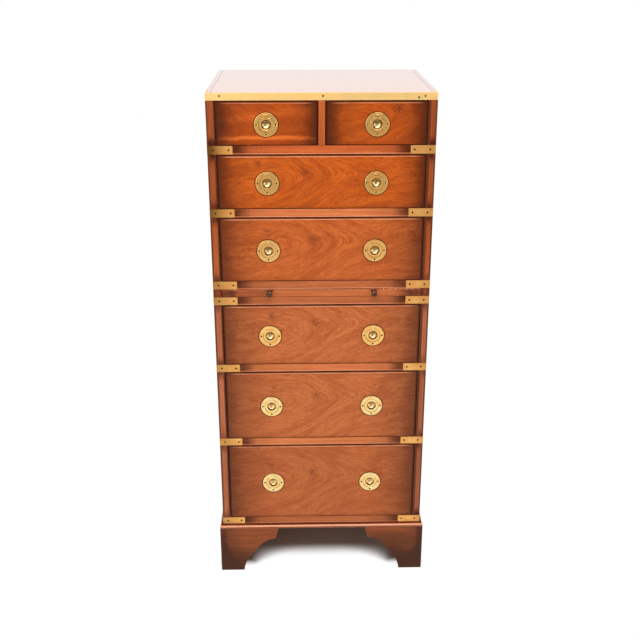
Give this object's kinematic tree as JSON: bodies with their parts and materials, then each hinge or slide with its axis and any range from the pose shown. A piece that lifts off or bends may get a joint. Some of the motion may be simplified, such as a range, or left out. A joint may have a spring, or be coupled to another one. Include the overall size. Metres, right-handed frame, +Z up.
{
  "type": "campaign chest",
  "caption": "Tall narrow campaign chest of drawers with flush ring handles, a brushing slide, a brass-bound carcass and scrolled bracket feet.",
  "frame": {"origin": "on the floor, under the middle of the bounding box", "axes": "+Z up, +Y towards the back, +X to the right of someone facing the drawers"},
  "size_m": [0.4746, 0.391, 1.1147],
  "materials": {
    "veneer": "reddish figured veneer, polished",
    "front_veneer": "reddish figured veneer, polished, darker towards the edges",
    "edge_wood": "reddish-brown mahogany, polished",
    "foot_wood": "darkened mahogany, polished",
    "lining_wood": "plain pale drawer linings, lightly waxed",
    "back_wood": "plain back, unpolished",
    "brass": "polished brass with light wear",
    "bronze": "darkened bronze"
  },
  "bodies": {
    "carcass": {"top_board": "veneer", "top_band": "brass", "side_left": "veneer", "side_right": "veneer", "back_panel": "back_wood", "divider": "edge_wood", "rail_frame_1": "edge_wood", "rail_frame_2": "edge_wood", "rail_frame_3": "edge_wood", "rail_frame_4": "edge_wood", "rail_frame_5": "edge_wood", "rail_frame_6": "edge_wood", "bottom_board": "edge_wood", "plinth_board": "edge_wood", "foot_front_left": "foot_wood", "foot_front_right": "foot_wood", "foot_back_left": "foot_wood", "foot_back_right": "foot_wood"},
    "slide": {"brushing_slide": "front_veneer", "slide_knob_left": "bronze", "slide_knob_right": "bronze"},
    "drawer_1_left": {"drawer_1_left_front": "front_veneer", "drawer_1_left_box": "lining_wood", "handle_1_left_plate": "brass"},
    "drawer_1_right": {"drawer_1_right_front": "front_veneer", "drawer_1_right_box": "lining_wood", "handle_1_right_plate": "brass"},
    "drawer_2": {"drawer_2_front": "front_veneer", "drawer_2_box": "lining_wood", "handle_2_left_plate": "brass", "handle_2_right_plate": "brass"},
    "drawer_3": {"drawer_3_front": "front_veneer", "drawer_3_box": "lining_wood", "handle_3_left_plate": "brass", "handle_3_right_plate": "brass"},
    "drawer_4": {"drawer_4_front": "front_veneer", "drawer_4_box": "lining_wood", "handle_4_left_plate": "brass", "handle_4_right_plate": "brass"},
    "drawer_5": {"drawer_5_front": "front_veneer", "drawer_5_box": "lining_wood", "handle_5_left_plate": "brass", "handle_5_right_plate": "brass"},
    "drawer_6": {"drawer_6_front": "front_veneer", "drawer_6_box": "lining_wood", "handle_6_left_plate": "brass", "handle_6_right_plate": "brass"},
    "ring_1_left": {"handle_1_left_ring": "brass"},
    "ring_1_right": {"handle_1_right_ring": "brass"},
    "ring_2_left": {"handle_2_left_ring": "brass"},
    "ring_2_right": {"handle_2_right_ring": "brass"},
    "ring_3_left": {"handle_3_left_ring": "brass"},
    "ring_3_right": {"handle_3_right_ring": "brass"},
    "ring_4_left": {"handle_4_left_ring": "brass"},
    "ring_4_right": {"handle_4_right_ring": "brass"},
    "ring_5_left": {"handle_5_left_ring": "brass"},
    "ring_5_right": {"handle_5_right_ring": "brass"},
    "ring_6_left": {"handle_6_left_ring": "brass"},
    "ring_6_right": {"handle_6_right_ring": "brass"}
  },
  "joints": [
    {"name": "slide_pull", "type": "slide", "parent": "carcass", "child": "slide", "axis": [0, -1, 0], "range_m": [0, 0.23]},
    {"name": "drawer_1_left_pull", "type": "slide", "parent": "carcass", "child": "drawer_1_left", "axis": [0, -1, 0], "range_m": [0, 0.27]},
    {"name": "drawer_1_right_pull", "type": "slide", "parent": "carcass", "child": "drawer_1_right", "axis": [0, -1, 0], "range_m": [0, 0.27]},
    {"name": "drawer_2_pull", "type": "slide", "parent": "carcass", "child": "drawer_2", "axis": [0, -1, 0], "range_m": [0, 0.27]},
    {"name": "drawer_3_pull", "type": "slide", "parent": "carcass", "child": "drawer_3", "axis": [0, -1, 0], "range_m": [0, 0.27]},
    {"name": "drawer_4_pull", "type": "slide", "parent": "carcass", "child": "drawer_4", "axis": [0, -1, 0], "range_m": [0, 0.27]},
    {"name": "drawer_5_pull", "type": "slide", "parent": "carcass", "child": "drawer_5", "axis": [0, -1, 0], "range_m": [0, 0.27]},
    {"name": "drawer_6_pull", "type": "slide", "parent": "carcass", "child": "drawer_6", "axis": [0, -1, 0], "range_m": [0, 0.27]},
    {"name": "ring_1_left_lift", "type": "hinge", "parent": "drawer_1_left", "child": "ring_1_left", "pos_m": [-0.111, -0.1815, 1.0716], "axis": [-1, 0, 0], "range_deg": [0, 90]},
    {"name": "ring_1_right_lift", "type": "hinge", "parent": "drawer_1_right", "child": "ring_1_right", "pos_m": [0.111, -0.1815, 1.0716], "axis": [-1, 0, 0], "range_deg": [0, 90]},
    {"name": "ring_2_left_lift", "type": "hinge", "parent": "drawer_2", "child": "ring_2_left", "pos_m": [-0.111, -0.1815, 0.9533], "axis": [-1, 0, 0], "range_deg": [0, 90]},
    {"name": "ring_2_right_lift", "type": "hinge", "parent": "drawer_2", "child": "ring_2_right", "pos_m": [0.111, -0.1815, 0.9533], "axis": [-1, 0, 0], "range_deg": [0, 90]},
    {"name": "ring_3_left_lift", "type": "hinge", "parent": "drawer_3", "child": "ring_3_left", "pos_m": [-0.111, -0.1815, 0.8099], "axis": [-1, 0, 0], "range_deg": [0, 90]},
    {"name": "ring_3_right_lift", "type": "hinge", "parent": "drawer_3", "child": "ring_3_right", "pos_m": [0.111, -0.1815, 0.8099], "axis": [-1, 0, 0], "range_deg": [0, 90]},
    {"name": "ring_4_left_lift", "type": "hinge", "parent": "drawer_4", "child": "ring_4_left", "pos_m": [-0.111, -0.1815, 0.6179], "axis": [-1, 0, 0], "range_deg": [0, 90]},
    {"name": "ring_4_right_lift", "type": "hinge", "parent": "drawer_4", "child": "ring_4_right", "pos_m": [0.111, -0.1815, 0.6179], "axis": [-1, 0, 0], "range_deg": [0, 90]},
    {"name": "ring_5_left_lift", "type": "hinge", "parent": "drawer_5", "child": "ring_5_left", "pos_m": [-0.111, -0.1815, 0.4486], "axis": [-1, 0, 0], "range_deg": [0, 90]},
    {"name": "ring_5_right_lift", "type": "hinge", "parent": "drawer_5", "child": "ring_5_right", "pos_m": [0.111, -0.1815, 0.4486], "axis": [-1, 0, 0], "range_deg": [0, 90]},
    {"name": "ring_6_left_lift", "type": "hinge", "parent": "drawer_6", "child": "ring_6_left", "pos_m": [-0.111, -0.1815, 0.25375], "axis": [-1, 0, 0], "range_deg": [0, 90]},
    {"name": "ring_6_right_lift", "type": "hinge", "parent": "drawer_6", "child": "ring_6_right", "pos_m": [0.111, -0.1815, 0.25375], "axis": [-1, 0, 0], "range_deg": [0, 90]}
  ]
}
